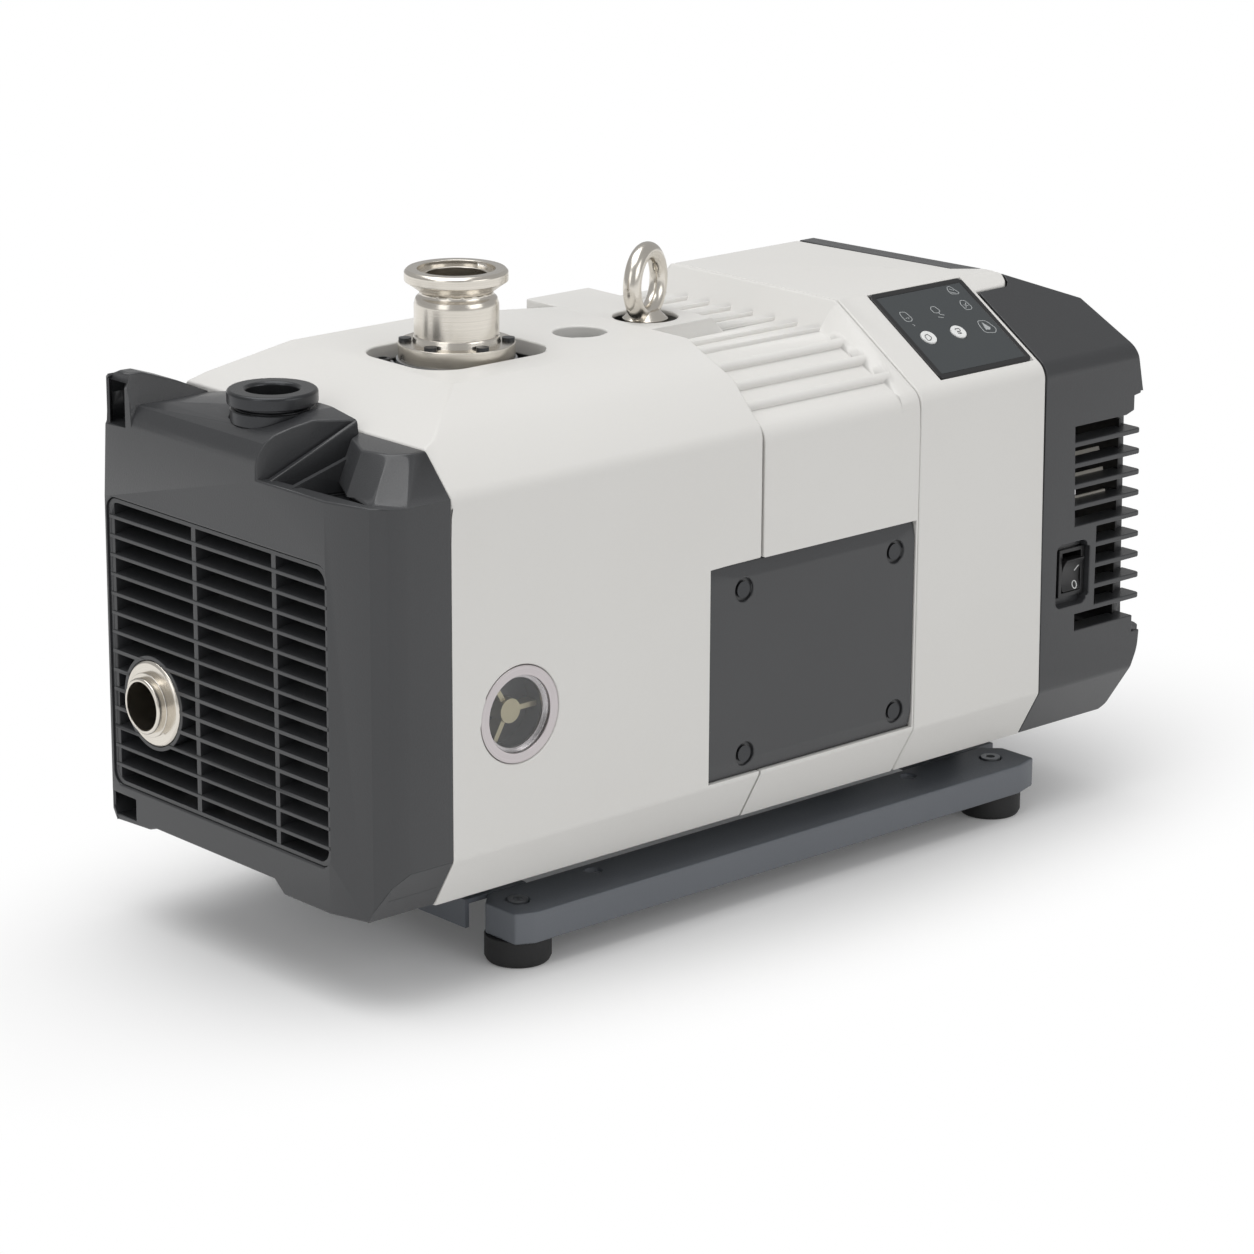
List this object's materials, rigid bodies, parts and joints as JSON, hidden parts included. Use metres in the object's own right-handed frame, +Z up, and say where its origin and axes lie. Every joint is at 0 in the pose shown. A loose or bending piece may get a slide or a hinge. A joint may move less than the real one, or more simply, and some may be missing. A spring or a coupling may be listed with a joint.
{
  "type": "dry scroll vacuum pump",
  "caption": "Dry scroll vacuum pump with moulded covers, front grille, top inlet flange, exhaust tube, control panel, lifting eye and a rail frame on rubber feet.",
  "frame": {"origin": "middle of the footprint on the floor", "axes": "+X from the front grille to the rear louvres, +Y to the side away from the window, +Z up"},
  "size_m": [0.5772, 0.235, 0.352],
  "materials": {
    "frame_paint": "satin",
    "black_rubber": "matte",
    "zinc_steel": "satin",
    "cast_aluminium": "cast",
    "seal_plastic": "matte",
    "bearing_steel": "ground",
    "cast_iron": "cast",
    "copper_windings": "enamelled",
    "pale_plastic": "moulded",
    "board_green": "printed board",
    "stainless": "turned",
    "dark_plastic": "fine texture",
    "white_plastic": "fine texture",
    "black_plastic": "satin",
    "panel_film": "satin film",
    "white_key": "satin",
    "clear_glass": "clear",
    "grey_plastic": "satin"
  },
  "bodies": {
    "housing": {"base_rail_near": "frame_paint", "base_rail_far": "frame_paint", "cross_member_front": "frame_paint", "cross_member_rear": "frame_paint", "rubber_feet": "black_rubber", "foot_screws": "zinc_steel", "vibration_mounts": "black_rubber", "bottom_tray": "zinc_steel", "crankcase": "cast_aluminium", "fixed_scroll": "cast_aluminium", "fixed_tip_seal": "seal_plastic", "fixed_scroll_screws": "zinc_steel", "auxiliary_case_bearings": "bearing_steel", "main_bearings": "bearing_steel", "motor_housing": "cast_aluminium", "motor_stator": "copper_windings", "motor_end_shield": "cast_aluminium", "fan_cowl": "pale_plastic", "drive_electronics": "board_green", "inlet_port": "stainless", "inlet_screws": "zinc_steel", "exhaust_silencer": "cast_aluminium", "exhaust_nipple": "stainless", "gas_ballast_port": "black_plastic", "service_plug": "black_plastic", "eye_bolt": "stainless", "front_cover": "dark_plastic", "front_grille": "dark_plastic", "front_cover_screws": "stainless", "front_cowl": "white_plastic", "ribbed_cowl": "white_plastic", "rear_hood": "white_plastic", "rear_cover": "dark_plastic", "control_panel_bezel": "black_plastic", "control_panel_face": "panel_film", "access_panel": "dark_plastic", "access_panel_screws": "stainless", "window_ring": "stainless", "window_glass": "clear_glass", "window_cup": "grey_plastic", "window_plug": "stainless", "rocker_bezel": "black_plastic", "power_inlet": "black_plastic"},
    "crankshaft_set": {"crankshaft": "bearing_steel", "counterweight": "cast_iron", "motor_rotor": "zinc_steel", "cooling_fan": "black_plastic"},
    "orbiting_set": {"orbiting_scroll": "cast_aluminium", "orbiting_tip_seal": "seal_plastic", "crank_pin_bearing": "bearing_steel", "auxiliary_orbit_bearings": "bearing_steel"},
    "auxiliary_crank_a": {"auxiliary_crank_1": "bearing_steel"},
    "auxiliary_crank_b": {"auxiliary_crank_2": "bearing_steel"},
    "auxiliary_crank_c": {"auxiliary_crank_3": "bearing_steel"},
    "rocker": {"rocker_button": "black_plastic"},
    "start_button": {"start_key": "white_key"},
    "stop_button": {"stop_key": "white_key"}
  },
  "joints": [
    {"name": "crank_spin", "type": "hinge", "parent": "housing", "child": "crankshaft_set", "pos_m": [-0.0516, 0, 0.172], "axis": [1, 0, 0], "continuous": true},
    {"name": "scroll_orbit", "type": "hinge", "parent": "crankshaft_set", "child": "orbiting_set", "pos_m": [-0.1002, 0, 0.17755], "axis": [1, 0, 0], "continuous": true},
    {"name": "auxiliary_spin_a", "type": "hinge", "parent": "housing", "child": "auxiliary_crank_a", "pos_m": [-0.0962, 0, 0.233], "axis": [1, 0, 0], "continuous": true},
    {"name": "auxiliary_spin_b", "type": "hinge", "parent": "housing", "child": "auxiliary_crank_b", "pos_m": [-0.0962, -0.05283, 0.1415], "axis": [1, 0, 0], "continuous": true},
    {"name": "auxiliary_spin_c", "type": "hinge", "parent": "housing", "child": "auxiliary_crank_c", "pos_m": [-0.0962, 0.05283, 0.1415], "axis": [1, 0, 0], "continuous": true},
    {"name": "rocker_tilt", "type": "hinge", "parent": "housing", "child": "rocker", "pos_m": [0.2324, -0.1075, 0.1435], "axis": [1, 0, 0], "range_deg": [-18, 0]},
    {"name": "start_press", "type": "slide", "parent": "housing", "child": "start_button", "axis": [0, 0.5414, -0.8408], "range_m": [0, 0.0006], "stiffness_N_per_m": 900, "springref_m": -0.0006},
    {"name": "stop_press", "type": "slide", "parent": "housing", "child": "stop_button", "axis": [0, 0.5414, -0.8408], "range_m": [0, 0.0006], "stiffness_N_per_m": 900, "springref_m": -0.0006}
  ],
  "couplings": [
    {"joint": "scroll_orbit", "follows": "crank_spin", "ratio": -1},
    {"joint": "auxiliary_spin_a", "follows": "crank_spin", "ratio": 1},
    {"joint": "auxiliary_spin_b", "follows": "crank_spin", "ratio": 1},
    {"joint": "auxiliary_spin_c", "follows": "crank_spin", "ratio": 1}
  ]
}
